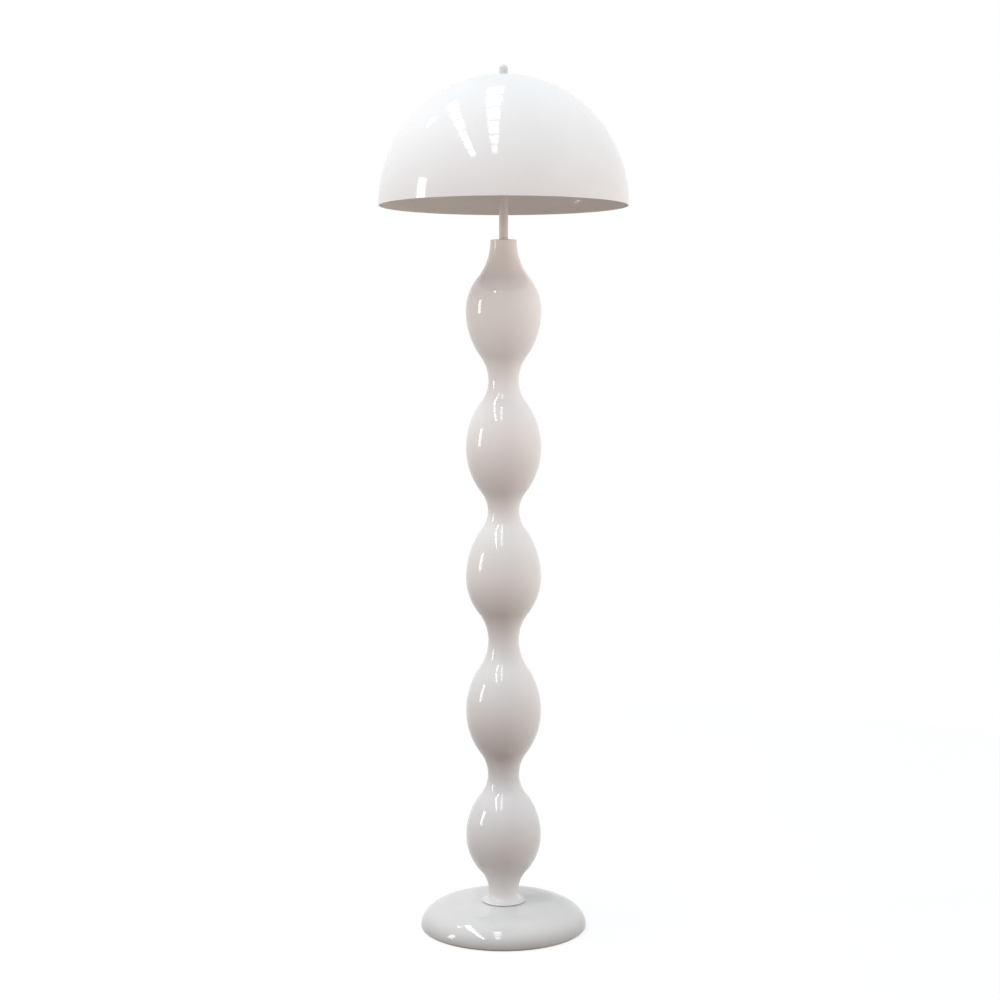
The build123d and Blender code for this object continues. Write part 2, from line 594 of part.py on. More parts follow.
def lamp_glass():
    bottom = LAMP_BOTTOM + LAMP_CAP_LENGTH
    belly = (LAMP_RADIUS, LAMP_TOP - LAMP_RADIUS)
    return turned(
        Line((0, bottom), (LAMP_NECK_RADIUS, bottom)),
        *half_bulb((LAMP_NECK_RADIUS, bottom), belly, LAMP_BELLY_SHARE),
        CenterArc((0, belly[1]), LAMP_RADIUS, 0, QUARTER_TURN),
        Line((0, LAMP_TOP), (0, bottom)),
    )


# ---- all the pieces
def pieces():
    solids = {
        "base_shell": base_shell(),
        "base_weight": base_weight(),
        "base_plate": base_plate(),
        "base_felt": base_felt(),
        "cord_bushing": cord_bushing(),
        "clamp_washer": clamp_washer(),
        "clamp_nut": clamp_nut(),
        "foot_gasket": foot_gasket(),
        "foot_bush": foot_bush(),
        "column_shell": column_shell(),
        "column_cap": column_cap(),
        "stem_tube": stem_tube(),
        "stop_pin": stop_pin(),
        "stem_grommet": stem_grommet(),
        "stem_plug": stem_plug(),
        "nipple": nipple(),
        "harp_saddle": harp_saddle(),
        "saddle_nut": saddle_nut(),
        "harp_bow": harp_bow(),
        "harp_stud": harp_stud(),
        "harp_sleeve_left": harp_sleeve(-1),
        "harp_sleeve_right": harp_sleeve(1),
        "holder_cup": holder_cup(),
        "holder_shell": holder_shell(),
        "holder_core": holder_core(),
        "thread_shell": thread_shell(),
        "centre_contact": centre_contact(),
        "switch_key": switch_key(),
        "lamp_cap": lamp_cap(),
        "lamp_glass": lamp_glass(),
        "shade": shade(),
        "finial": finial(),
    }
    for number, place in enumerate(boss_places(), start=1):
        solids[f"plate_screw_{number}"] = plate_screw(place)
    return solids


def main():
    os.makedirs("parts", exist_ok=True)
    for name, solid in pieces().items():
        export_step(solid, f"parts/{name}.step")
    print(f"height {SHADE_TOP + FINIAL_GAP + FINIAL_SIDE + FINIAL_RADIUS:.1f} mm, shade rim at {SHADE_RIM:.1f} mm")


main()
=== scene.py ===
from math import atan2, cos, pi, radians, sin, tau

import bpy
from mathutils import Euler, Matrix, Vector


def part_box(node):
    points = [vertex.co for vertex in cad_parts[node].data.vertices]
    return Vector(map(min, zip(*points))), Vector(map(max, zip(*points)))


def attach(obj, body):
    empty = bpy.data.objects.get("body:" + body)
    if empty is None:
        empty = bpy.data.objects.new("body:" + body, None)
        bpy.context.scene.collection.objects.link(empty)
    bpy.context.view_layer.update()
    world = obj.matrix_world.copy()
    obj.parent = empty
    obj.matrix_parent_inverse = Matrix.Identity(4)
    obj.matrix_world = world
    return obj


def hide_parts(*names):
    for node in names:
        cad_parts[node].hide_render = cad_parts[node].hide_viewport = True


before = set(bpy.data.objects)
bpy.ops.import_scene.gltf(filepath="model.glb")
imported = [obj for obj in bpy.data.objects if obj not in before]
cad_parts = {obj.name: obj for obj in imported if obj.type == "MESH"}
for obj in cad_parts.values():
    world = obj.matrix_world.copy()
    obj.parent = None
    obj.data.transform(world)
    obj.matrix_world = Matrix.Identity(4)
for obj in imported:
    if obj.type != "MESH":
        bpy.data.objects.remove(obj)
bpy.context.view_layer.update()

# A floor lamp in gloss white lacquer. Lengths are in metres, +Z is up, -Y is the front.

# ---------------------------------------------------------------- camera and room
CAMERA_DISTANCE = 3.334
CAMERA_HEIGHT = 1.046
CAMERA_TILT = 3.0             # degrees down
CAMERA_LENS = 66.64           # on a 36 mm wide sensor
CAMERA_SHIFT = (-0.0036, -0.05)

FLOOR_RADIUS = 2.2
FLOOR_STEPS = 128
FLOOR_WHITE = 0.84            # the floor's own white, as the camera and reflections see it
FLOOR_SHADOW = 0.20           # the part of that white that a shadow can darken
FLOOR_WARM = (0.07, 0.035, 0.02)    # what the floor near the lamp throws back on it
FAR_FLOOR = (1.10, 0.98, 0.92)      # the lit floor beyond it

# each wall: which side it is on, its light at floor level and its light higher up
WALLS = {
    "left": (("X", -1), (0.55, 0.42, 0.34), (0.29, 0.31, 0.33)),
    "right": (("X", 1), (2.45, 2.18, 1.99), (0.70, 0.89, 1.06)),
    "back": (("Y", 1), (0.30, 0.30, 0.30), (0.10, 0.10, 0.10)),
    "near": (("Y", -1), (0.75, 0.54, 0.44), (0.19, 0.27, 0.37)),    # behind the camera
}
CEILING = (0.06, 0.06, 0.06)
# sines of the elevation between which one part of the room passes into the next
FAR_FLOOR_TO_WALL = (-0.34, 0.0)
WALL_TO_UPPER = (0.0, 0.71)
UPPER_TO_CEILING = (0.75, 0.95)

# skylights: two rows of panes high over the lamp, each row turned a little about the vertical
SKYLIGHT_HEIGHT = 7.0
SKYLIGHT_TINT = (0.945, 1.0, 1.03)
PANES = 6
GLAZING_BAR = 0.26
# centre, width, length, turn in degrees, radiance
SKYLIGHTS = {
    "skylight_near": ((-0.72, -1.90), 0.85, 9.6, 4, 6.6),
    "skylight_far": ((-3.45, -1.90), 0.68, 9.4, 6, 16.5),
}
# windows that face the lamp's middle: centre, size, radiance
WINDOWS = {
    "window_left": ((-4.80, -0.98, 1.85), (0.85, 1.9), 8.0),
    "window_high": ((-3.00, 1.50, 4.70), (0.45, 0.45), 10.0),
}
WINDOW_TINT = (0.98, 1.0, 1.03)
LAMP_MIDDLE = Vector((0, 0, 0.9))

# ---------------------------------------------------------------- colours
LACQUER_LIGHT = (0.845, 0.838, 0.826)
LACQUER_SHADOW = (0.828, 0.820, 0.806)
LACQUER_DUSTY = (0.74, 0.73, 0.71)
BASE_TONE = (0.930, 0.922, 0.900)
# painted shade: the dark colour of the band along the base's foot
BASE_PAINTED_SHADE = (0.42, 0.39, 0.36)
SHADE_LIGHT = (0.815, 0.830, 0.835)
SHADE_SHADOW = (0.798, 0.812, 0.815)
SHADE_DUSTY = (0.71, 0.71, 0.70)
# the inside's white enamel, made warmer and darker than the outside as painted shade
ENAMEL_LIGHT = (0.775, 0.755, 0.730)
ENAMEL_SHADOW = (0.745, 0.725, 0.700)
STEM_PAINT = ((0.755, 0.740, 0.720), (0.735, 0.720, 0.700))
FINIAL_PAINT = ((0.68, 0.68, 0.68), (0.64, 0.64, 0.64))
RUBBED_PAINT = (0.55, 0.54, 0.52)
BRASS = ((0.70, 0.52, 0.26), (0.46, 0.32, 0.15))
ZINC = ((0.62, 0.63, 0.64), (0.42, 0.42, 0.42))
ALUMINIUM = ((0.80, 0.80, 0.81), (0.60, 0.60, 0.61))
IRON_DARK = (0.10, 0.10, 0.105)
IRON_RUST = (0.19, 0.17, 0.15)
WOOL_DARK = (0.045, 0.045, 0.048)
WOOL_PALE = (0.16, 0.155, 0.15)
WOOL_CLOUDS = (0.11, 0.10, 0.095)
BLACK_RUBBER = ((0.018, 0.018, 0.019), (0.045, 0.043, 0.042))
GREY_RUBBER = ((0.30, 0.295, 0.285), (0.38, 0.37, 0.36))
PLASTIC_DEEP = (0.012, 0.011, 0.011)
PLASTIC_FADED = (0.040, 0.034, 0.030)
OPAL_LIGHT = (0.90, 0.895, 0.88)
OPAL_SHADOW = (0.84, 0.835, 0.815)

# ---------------------------------------------------------------- pieces
LATHE_STEPS = 96
COLUMN_STEPS = 128
FELT_STEPS = 160
FINE_STEPS = 64
FERRULE_STEPS = 48
DRILL_STEPS = 32
SMOOTH_ANGLE = radians(35)
ALONG_Y = (radians(90), 0, 0)
HAIR = 0.0001                  # how far off its wall a point may lie
THREAD_PITCH = 0.0036
THREAD_DEPTH = 0.0011
KEY_HOLE = (0.0025, 0.012)     # radius and depth
NIPPLE_BORE = 0.0051
CLAMP_BORE = 0.0081

# ---------------------------------------------------------------- the column's turned side
BELLY = 0.0682
NECKS = (0.0266, 0.0286, 0.0278, 0.0284, 0.0275, 0.0238)
# each bulb: from the neck below up to its belly, and from there to the neck above
BULB_RISES = ((0.1053, 0.1107), (0.1176, 0.1284), (0.1149, 0.1192), (0.1155, 0.1207), (0.1241, 0.1261))
# the belly arc's share of the two radii below and above each belly
BELLY_SHARES = ((0.62, 0.68), (0.66, 0.61), (0.57, 0.75), (0.71, 0.69), (0.66, 0.48))
SIDE_POINTS = 14               # on each arc of the outside
BORE_POINTS = 6                # and of the inside
COLUMN_WALL = 0.004
FOOT = 0.0395
FOOT_LIP = 0.0012
FOOT_RISE = 0.016             # from the column's bottom to the neck over its foot
COLLAR_EDGE = 0.0015
COLLAR_SOLID = 0.024
COLLAR_BORE = 0.015
COLLAR_RECESS = 0.019
COLLAR_RECESS_DEPTH = 0.003


# ---------------------------------------------------------------- node helpers
def add_node(tree, kind, inputs=None, **settings):
    """One shader node; an input is a value or another node's output."""
    made = tree.nodes.new("ShaderNode" + kind)
    for name, value in settings.items():
        setattr(made, name, value)
    for name, value in (inputs or {}).items():
        socket = made.inputs[name]
        if isinstance(value, bpy.types.NodeSocket):
            tree.links.new(value, socket)
        else:
            socket.default_value = value
    return made


def calc(tree, operation, first, second=0.0):
    """One step of arithmetic on numbers or on other nodes' outputs."""
    return add_node(tree, "Math", {0: first, 1: second}, operation=operation).outputs["Value"]


def stretched(tree, value, amount, start):
    """The value times an amount, on top of a start."""
    made = add_node(tree, "Math", {0: value, 1: amount, 2: start}, operation="MULTIPLY_ADD")
    return made.outputs["Value"]


def scaled(tree, colour, amount):
    made = add_node(tree, "VectorMath", {0: colour, "Scale": amount}, operation="SCALE")
    return made.outputs["Vector"]


def summed(tree, first, second):
    return add_node(tree, "VectorMath", {0: first, 1: second}, operation="ADD").outputs["Vector"]


def mixed(tree, amount, first, second):
    made = add_node(tree, "Mix", data_type="RGBA")
    sockets = (made.inputs[0], made.inputs[6], made.inputs[7])
    for socket, value in zip(sockets, (amount, first, second)):
        if isinstance(value, bpy.types.NodeSocket):
            tree.links.new(value, socket)
        else:
            socket.default_value = value if isinstance(value, float) else (*value, 1)
    return made.outputs[2]


def eased(tree, value, start, end, low=0.0, high=1.0):
    made = add_node(
        tree,
        "MapRange",
        {"Value": value, "From Min": start, "From Max": end, "To Min": low, "To Max": high},
        interpolation_type="SMOOTHSTEP",
    )
    return made.outputs["Result"]


def noise(tree, place, scale, detail=2.0, rough=0.5):
    inputs = {"Vector": place, "Scale": scale, "Detail": detail, "Roughness": rough}
    return add_node(tree, "TexNoise", inputs).outputs["Fac"]


def effect_group(name, inputs, outputs):
    """An empty shader group with named number inputs and outputs, to be filled by its maker."""
    tree = bpy.data.node_groups.new(name, "ShaderNodeTree")
    for label, value in inputs.items():
        socket = tree.interface.new_socket(label, in_out="INPUT", socket_type="NodeSocketFloat")
        socket.default_value = value
    for label in outputs:
        tree.interface.new_socket(label, in_out="OUTPUT", socket_type="NodeSocketFloat")
    entry = tree.nodes.new("NodeGroupInput")
    leave = tree.nodes.new("NodeGroupOutput")
    return tree, entry, leave


def put_out(tree, leave, values):
    """Joins a group's results to its outputs and gives the filled group back."""
    for label, value in values.items():
        tree.links.new(value, leave.inputs[label])
    return tree


def use_group(tree, group, values=None):
    """The group placed in a material with its own values; what it puts out, by name."""
    made = tree.nodes.new("ShaderNodeGroup")
    made.node_tree = group
    for name, value in (values or {}).items():
        made.inputs[name].default_value = value
    return made.outputs


# ---------------------------------------------------------------- shared effects
def sprayed_surface():
    """A sprayed and polished coat: large soft patches, orange peel, slow waves and dust nibs."""
    tree, entry, leave = effect_group(
        "sprayed surface",
        {"Patch Scale": 7.0, "Peel Scale": 420.0, "Wave Scale": 28.0, "Nib Scale": 900.0},
        ("Patches", "Peel", "Waves", "Nibs"),
    )
    place = add_node(tree, "TexCoord").outputs["Object"]
    patches = noise(tree, place, entry.outputs["Patch Scale"], 3.0, 0.6)
    peel = noise(tree, place, entry.outputs["Peel Scale"], 1.0, 0.4)
    waves = noise(tree, place, entry.outputs["Wave Scale"], 1.0, 0.4)
    specks = add_node(tree, "TexVoronoi", {"Vector": place, "Scale": entry.outputs["Nib Scale"]})
    nib = eased(tree, specks.outputs["Distance"], 0.02, 0.12, 1.0, 0.0)
    rare = eased(tree, specks.outputs["Color"], 0.90, 0.95)
    nibs = calc(tree, "MULTIPLY", nib, rare)
    return put_out(tree, leave, {"Patches": patches, "Peel": peel, "Waves": waves, "Nibs": nibs})


def settled_dust():
    """Where dust lies: on faces that look up, in soft uneven patches."""
    tree, entry, leave = effect_group(
        "settled dust", {"Flatness": 0.80, "Patch Scale": 18.0, "Amount": 1.0}, ("Dust",)
    )
    coordinate = add_node(tree, "TexCoord")
    up = add_node(tree, "SeparateXYZ", {"Vector": coordinate.outputs["Normal"]}).outputs["Z"]
    facing = eased(tree, up, entry.outputs["Flatness"], 1.0)
    patches = noise(tree, coordinate.outputs["Object"], entry.outputs["Patch Scale"], 5.0, 0.6)
    lying = calc(tree, "MULTIPLY", facing, eased(tree, patches, 0.35, 0.75))
    return put_out(tree, leave, {"Dust": calc(tree, "MULTIPLY", lying, entry.outputs["Amount"])})


def handled_metal():
    """Plated or drawn metal: fine lines along one way, a soft tarnish and small scuffs."""
    tree, entry, leave = effect_group(
        "handled metal",
        {"Line Scale": 1500.0, "Tarnish Scale": 60.0, "Scuff Scale": 350.0},
        ("Lines", "Tarnish", "Scuffs"),
    )
    place = add_node(tree, "TexCoord").outputs["Object"]
    drawn = add_node(tree, "Mapping", {"Vector": place, "Scale": (1.0, 1.0, 0.03)}).outputs["Vector"]
    lines = noise(tree, drawn, entry.outputs["Line Scale"], 2.0, 0.6)
    tarnish = eased(tree, noise(tree, place, entry.outputs["Tarnish Scale"], 4.0, 0.6), 0.42, 0.72)
    scuffs = eased(tree, noise(tree, place, entry.outputs["Scuff Scale"], 3.0, 0.7), 0.60, 0.72)
    return put_out(tree, leave, {"Lines": lines, "Tarnish": tarnish, "Scuffs": scuffs})


def painted_floor_shade():
    """Painted shade at the lacquer's foot: a soft uneven darker band that starts at the floor and fades out
    upwards.
    """
    tree, entry, leave = effect_group(
        "painted floor shade", {"Height": 0.034, "Ragged": 0.012, "Patch Scale": 26.0, "Amount": 0.36}, ("Scuffs",)
    )
    place = add_node(tree, "TexCoord").outputs["Object"]
    height = add_node(tree, "SeparateXYZ", {"Vector": place}).outputs["Z"]
    uneven = calc(tree, "SUBTRACT", noise(tree, place, entry.outputs["Patch Scale"], 3.0), 0.5)
    ragged = calc(tree, "MULTIPLY", uneven, entry.outputs["Ragged"])
    above = eased(tree, calc(tree, "ADD", height, ragged), 0.0, entry.outputs["Height"])
    # how strongly the painted shade darkens: full at the floor, none above the band's height
    scuffs = calc(tree, "MULTIPLY", calc(tree, "SUBTRACT", 1.0, above), entry.outputs["Amount"])
    return put_out(tree, leave, {"Scuffs": scuffs})


def soft_grain():
    """A dull fine grain for felt, rubber and moulded plastic."""
    tree, entry, leave = effect_group(
        "soft grain", {"Grain Scale": 1400.0, "Mottle Scale": 45.0, "Stretch": 1.0}, ("Grain", "Mottle")
    )
    place = add_node(tree, "TexCoord").outputs["Object"]
    stretch = add_node(tree, "CombineXYZ", {"X": entry.outputs["Stretch"], "Y": 1.0, "Z": 1.0})
    pulled = add_node(tree, "VectorMath", {0: place, 1: stretch.outputs["Vector"]}, operation="MULTIPLY")
    grain = noise(tree, pulled.outputs["Vector"], entry.outputs["Grain Scale"], 4.0, 0.7)
    mottle = noise(tree, place, entry.outputs["Mottle Scale"], 4.0, 0.6)
    return put_out(tree, leave, {"Grain": grain, "Mottle": mottle})


SPRAYED = sprayed_surface()
DUST = settled_dust()
HANDLED = handled_metal()
PAINTED_FLOOR_SHADE = painted_floor_shade()
GRAIN = soft_grain()


# ---------------------------------------------------------------- materials
def new_material(name, roughness, metallic=0.0, specular=0.5):
    material = bpy.data.materials.new(name)
    material.use_nodes = True
    tree = material.node_tree
    surface = tree.nodes["Principled BSDF"]
    surface.inputs["Roughness"].default_value = roughness
    surface.inputs["Metallic"].default_value = metallic
    surface.inputs["Specular IOR Level"].default_value = specular
    return material, tree, surface


def relief(tree, surface, layers):
    """Bumps on top of each other; each layer is a height output and its depth in metres."""
    normal = None
    for height, depth in layers:
        inputs = {"Height": height, "Distance": depth, "Strength": 1.0}
        if normal:
            inputs["Normal"] = normal
        normal = add_node(tree, "Bump", inputs).outputs["Normal"]
    tree.links.new(normal, surface.inputs["Normal"])


def patched_paint(tree, skin, light, shadow):
    """Paint that drifts a little from patch to patch."""
    return mixed(tree, eased(tree, skin["Patches"], 0.35, 0.65), light, shadow)


def lacquer_gloss(tree, skin):
    return stretched(tree, skin["Patches"], 0.05, 0.045)


def lacquer_relief(tree, surface, skin, waves, peel):
    nibs = 0.00001
    relief(tree, surface, ((skin["Waves"], waves), (skin["Peel"], peel), (skin["Nibs"], nibs)))


def white_lacquer(name="gloss white lacquer", tone=(1.0, 1.0, 1.0), painted_shade=None):
    material, tree, surface = new_material(name, 0.07)
    skin = use_group(tree, SPRAYED)
    dust = use_group(tree, DUST, {"Amount": 0.30})["Dust"]
    whites = (LACQUER_LIGHT, LACQUER_SHADOW, LACQUER_DUSTY)
    light, shadow, dusty = (tuple(share * part for share, part in zip(tone, white)) for white in whites)
    colour = mixed(tree, dust, patched_paint(tree, skin, light, shadow), dusty)
    # painted shade: a darker band along the bottom, mixed into the paint
    if painted_shade:
        colour = mixed(tree, use_group(tree, PAINTED_FLOOR_SHADE)["Scuffs"], colour, painted_shade)
    tree.links.new(colour, surface.inputs["Base Color"])
    rough = calc(tree, "ADD", lacquer_gloss(tree, skin), calc(tree, "MULTIPLY", dust, 0.25))
    tree.links.new(rough, surface.inputs["Roughness"])
    lacquer_relief(tree, surface, skin, 0.00014, 0.0000015)
    return material


def shade_enamel():
    """The shade: the same lacquer outside, a slightly duller white enamel inside, made warmer and darker
    than the outside as painted shade.
    """
    material, tree, surface = new_material("shade lacquer and enamel", 0.07)
    skin = use_group(tree, SPRAYED)
    dust = use_group(tree, DUST, {"Amount": 0.35, "Flatness": 0.90})["Dust"]
    outside = mixed(tree, dust, patched_paint(tree, skin, SHADE_LIGHT, SHADE_SHADOW), SHADE_DUSTY)
    coordinate = add_node(tree, "TexCoord").outputs
    rim = (0, 0, -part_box("shade")[0][2])
    outward = add_node(tree, "Mapping", {"Vector": coordinate["Object"], "Location": rim}).outputs["Vector"]
    facing = add_node(tree, "VectorMath", {0: outward, 1: coordinate["Normal"]}, operation="DOT_PRODUCT")
    turned_inward = -0.01
    inside = calc(tree, "LESS_THAN", facing.outputs["Value"], turned_inward)
    enamel = mixed(tree, skin["Patches"], ENAMEL_LIGHT, ENAMEL_SHADOW)
    # painted shade: faces turned inward get the warmer, darker enamel colour
    tree.links.new(mixed(tree, inside, outside, enamel), surface.inputs["Base Color"])
    rough = stretched(tree, inside, 0.03, lacquer_gloss(tree, skin))
    tree.links.new(rough, surface.inputs["Roughness"])
    lacquer_relief(tree, surface, skin, 0.00022, 0.000002)
    return material


def satin_paint(name, light, shadow, roughness):
    material, tree, surface = new_material(name, roughness)
    skin = use_group(tree, SPRAYED, {"Patch Scale": 25.0, "Peel Scale": 900.0})
    wear = use_group(tree, HANDLED, {"Line Scale": 900.0})
    rubbed = calc(tree, "MULTIPLY", wear["Scuffs"], 0.25)
    worn = mixed(tree, rubbed, patched_paint(tree, skin, light, shadow), RUBBED_PAINT)
    tree.links.new(worn, surface.inputs["Base Color"])
    tree.links.new(stretched(tree, skin["Patches"], 0.12, roughness - 0.06), surface.inputs["Roughness"])
    relief(tree, surface, ((skin["Peel"], 0.000012), (skin["Nibs"], 0.00002)))
    return material


def metal(name, bright, dull, roughness):
    material, tree, surface = new_material(name, roughness, metallic=1.0)
    wear = use_group(tree, HANDLED)
    tree.links.new(mixed(tree, wear["Tarnish"], bright, dull), surface.inputs["Base Color"])
    rough = stretched(tree, wear["Tarnish"], 0.16, roughness)
    rough = calc(tree, "ADD", rough, calc(tree, "MULTIPLY", wear["Scuffs"], 0.10))
    tree.links.new(rough, surface.inputs["Roughness"])
    relief(tree, surface, ((wear["Lines"], 0.000004), (wear["Scuffs"], 0.00001)))
    return material


def cast_iron():
    material, tree, surface = new_material("cast iron", 0.75, metallic=0.6)
    grain = use_group(tree, GRAIN, {"Grain Scale": 500.0, "Mottle Scale": 30.0})
    tree.links.new(mixed(tree, grain["Mottle"], IRON_DARK, IRON_RUST), surface.inputs["Base Color"])
    tree.links.new(eased(tree, grain["Grain"], 0.2, 0.8, 0.6, 0.9), surface.inputs["Roughness"])
    relief(tree, surface, ((grain["Grain"], 0.0004),))
    return material


def felt():
    material, tree, surface = new_material("grey wool felt", 0.95, specular=0.2)
    surface.inputs["Sheen Weight"].default_value = 0.4
    surface.inputs["Sheen Roughness"].default_value = 0.6
    fibres = use_group(tree, GRAIN, {"Grain Scale": 1100.0, "Mottle Scale": 70.0, "Stretch": 0.35})
    crossed = use_group(tree, GRAIN, {"Grain Scale": 700.0, "Stretch": 2.6})
    wool = calc(tree, "MULTIPLY", fibres["Grain"], crossed["Grain"])
    colour = mixed(tree, eased(tree, wool, 0.12, 0.40), WOOL_DARK, WOOL_PALE)
    clouds = eased(tree, fibres["Mottle"], 0.4, 0.8, 0.0, 0.4)
    tree.links.new(mixed(tree, clouds, colour, WOOL_CLOUDS), surface.inputs["Base Color"])
    relief(tree, surface, ((fibres["Mottle"], 0.0004), (wool, 0.0009)))
    return material


def rubber(name, deep, faded):
    material, tree, surface = new_material(name, 0.6, specular=0.4)
    grain = use_group(tree, GRAIN, {"Grain Scale": 1800.0})
    tree.links.new(mixed(tree, grain["Mottle"], deep, faded), surface.inputs["Base Color"])
    tree.links.new(eased(tree, grain["Grain"], 0.3, 0.7, 0.50, 0.72), surface.inputs["Roughness"])
    relief(tree, surface, ((grain["Grain"], 0.00004),))
    return material


def moulded_black():
    material, tree, surface = new_material("black moulded plastic", 0.35)
    grain = use_group(tree, GRAIN, {"Grain Scale": 2400.0, "Mottle Scale": 120.0})
    tree.links.new(mixed(tree, grain["Mottle"], PLASTIC_DEEP, PLASTIC_FADED), surface.inputs["Base Color"])
    tree.links.new(eased(tree, grain["Mottle"], 0.3, 0.7, 0.25, 0.42), surface.inputs["Roughness"])
    relief(tree, surface, ((grain["Grain"], 0.00001),))
    return material


def opal_glass():
    """The bulb's envelope: clear outside, a fine white powder coat within."""
    material, tree, surface = new_material("opal bulb glass", 0.12)
    surface.inputs["Transmission Weight"].default_value = 0.25
    surface.inputs["IOR"].default_value = 1.5
    skin = use_group(tree, SPRAYED, {"Patch Scale": 40.0, "Peel Scale": 1200.0})
    tree.links.new(mixed(tree, skin["Patches"], OPAL_LIGHT, OPAL_SHADOW), surface.inputs["Base Color"])
    tree.links.new(eased(tree, skin["Patches"], 0.3, 0.7, 0.08, 0.16), surface.inputs["Roughness"])
    relief(tree, surface, ((skin["Waves"], 0.0002),))
    return material


# ---------------------------------------------------------------- modelling helpers
def deselect():
    bpy.ops.object.select_all(action="DESELECT")


def named(name):
    piece = bpy.context.object
    piece.name = name
    piece.data.name = name
    return piece


def apply_modifier(piece, kind, **settings):
    modifier = piece.modifiers.new(kind.lower(), kind)
    for name, value in settings.items():
        setattr(modifier, name, value)
    bpy.context.view_layer.objects.active = piece
    bpy.ops.object.modifier_apply(modifier=modifier.name)


def settle(piece):
    """Place and turn go into the mesh, and the smooth faces are split only at real edges."""
    deselect()
    piece.select_set(True)
    bpy.context.view_layer.objects.active = piece
    bpy.ops.object.transform_apply(location=True, rotation=True, scale=True)
    bpy.ops.object.shade_smooth_by_angle(angle=SMOOTH_ANGLE)
    return piece


def spun(name, outline, steps=LATHE_STEPS, along_y=False, centre=(0, 0, 0)):
    """A closed outline of (radius, height) points, extruded point by point and spun round its axis."""
    deselect()
    bpy.ops.mesh.primitive_plane_add(size=0.001)
    piece = named(name)
    bpy.ops.object.mode_set(mode="EDIT")
    bpy.ops.mesh.merge(type="CENTER")
    bpy.ops.transform.translate(value=(outline[0][0], 0, outline[0][1]))
    for start, end in zip(outline, outline[1:]):
        step = (end[0] - start[0], 0, end[1] - start[1])
        bpy.ops.mesh.extrude_region_move(TRANSFORM_OT_translate={"value": step})
    bpy.ops.mesh.select_all(action="SELECT")
    if outline[0][0] > 0 or outline[-1][0] > 0:
        bpy.ops.mesh.edge_face_add()
        bpy.ops.mesh.delete(type="ONLY_FACE")
        bpy.ops.mesh.select_all(action="SELECT")
    bpy.ops.mesh.spin(steps=steps, angle=tau, center=(0, 0, 0), axis=(0, 0, 1))
    bpy.ops.mesh.select_all(action="SELECT")
    bpy.ops.mesh.remove_doubles(threshold=1e-6)
    bpy.ops.mesh.normals_make_consistent(inside=False)
    bpy.ops.object.mode_set(mode="OBJECT")
    piece.location = centre
    if along_y:
        piece.rotation_euler = (radians(-90), 0, 0)
    return settle(piece)


def bend(centre, radius, start, end, count=6):
    """Points on an arc, from one angle in degrees to another."""
    angles = [radians(start + (end - start) * number / count) for number in range(count + 1)]
    return [(centre[0] + radius * cos(angle), centre[1] + radius * sin(angle)) for angle in angles]


def bead(radius, height, proud, count=6):
    """A half-round bead on an upright wall, from below to above."""
    return bend((radius, height), proud, -90, 90, count)


def cut_round_hole(piece, centre, radius, depth, turn=(0, 0, 0)):
    deselect()
    bpy.ops.mesh.primitive_cylinder_add(
        vertices=DRILL_STEPS, radius=radius, depth=depth, location=centre, rotation=turn
    )
    drill = bpy.context.object
    apply_modifier(piece, "BOOLEAN", operation="DIFFERENCE", object=drill, solver="EXACT")
    bpy.data.objects.remove(drill)
    return settle(piece)


def finish_piece(piece, material, body, replaced=None):
    piece.data.materials.clear()
    piece.data.materials.append(material)
    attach(piece, body)
    if replaced:
        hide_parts(replaced)
    return piece


# ---------------------------------------------------------------- bulb cap
def screw_thread(piece, crest, low, high):
    """Draws a rolled thread into the wall between two heights: the wall's points move in and out."""
    for point in piece.data.vertices:
        across = Vector((point.co.x, point.co.y))
        if not low < point.co.z < high or across.length < crest - HAIR:
            continue
        turn = pi + Vector((1, 0)).angle_signed(across, 0.0)
        wave = 0.5 - 0.5 * cos(tau * (point.co.z / THREAD_PITCH + turn / tau))
        fade = min(1.0, (point.co.z - low) / THREAD_PITCH, (high - point.co.z) / THREAD_PITCH)
        across *= 1 - THREAD_DEPTH * wave * fade / across.length
        point.co.x, point.co.y = across


def bulb_cap(material, insulator, contact):
    (_, _, bottom), (crest, _, top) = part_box("lamp_cap")
    plain, insulated, drop_rise = 0.0030, 0.0052, 0.0016
    skirt, cone, tip = top - plain, bottom + insulated, bottom + drop_rise
    wall_steps, step_in, lip = 48, 0.0016, 0.0006
    wall = [(crest, cone + (skirt - cone) * number / wall_steps) for number in range(wall_steps + 1)]
    rolled = bend((crest - lip, top - lip), lip, 0, 90, 3)
    cap = spun("bulb_cap", [(0, cone), (crest - step_in, cone), *wall, *rolled, (0, top)])
    screw_thread(cap, crest, cone, skirt)
    finish_piece(cap, material, "lamp", "lamp_cap")
    waist, shoulder, shoulder_in, shoulder_drop, ring_in = 0.0046, 0.0012, 0.0030, 0.0014, 0.0024
    side = bend((crest - shoulder_in, cone - shoulder_drop), shoulder, -50, 60, 4)
    ring = spun("bulb_cap_insulator", [(0, tip), (waist, tip), *side, (crest - ring_in, cone), (0, cone)])
    finish_piece(ring, insulator, "lamp")
    ball, rim = 0.0034, 0.0029
    drop = spun("bulb_cap_contact", [*bend((0, bottom + ball), ball, -90, -32, 5), (rim, tip), (0, tip)])
    finish_piece(drop, contact, "lamp")


# ---------------------------------------------------------------- lampholder
def lampholder_shell(material):
    low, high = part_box("holder_shell")
    bottom, top = low[2], high[2]
    wall, lip = 0.0008, 0.0009
    outer = high[0] - lip + wall / 2
    bead_heights = (top - 0.0100, top - 0.0150, bottom + 0.0165)
    bead_proud = 0.0006
    outline = [(outer - wall, bottom), (outer, bottom)]
    for height in sorted(bead_heights):
        outline += bead(outer, height, bead_proud)
    outline += bend((outer - wall / 2, top - lip), lip, -20, 200, 10)
    shell = spun("lampholder_shell", outline)
    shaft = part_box("switch_key")
    centre = (0, -outer, (shaft[0][2] + shaft[1][2]) / 2)
    cut_round_hole(shell, centre, *KEY_HOLE, ALONG_Y)
    finish_piece(shell, material, "stand", "holder_shell")


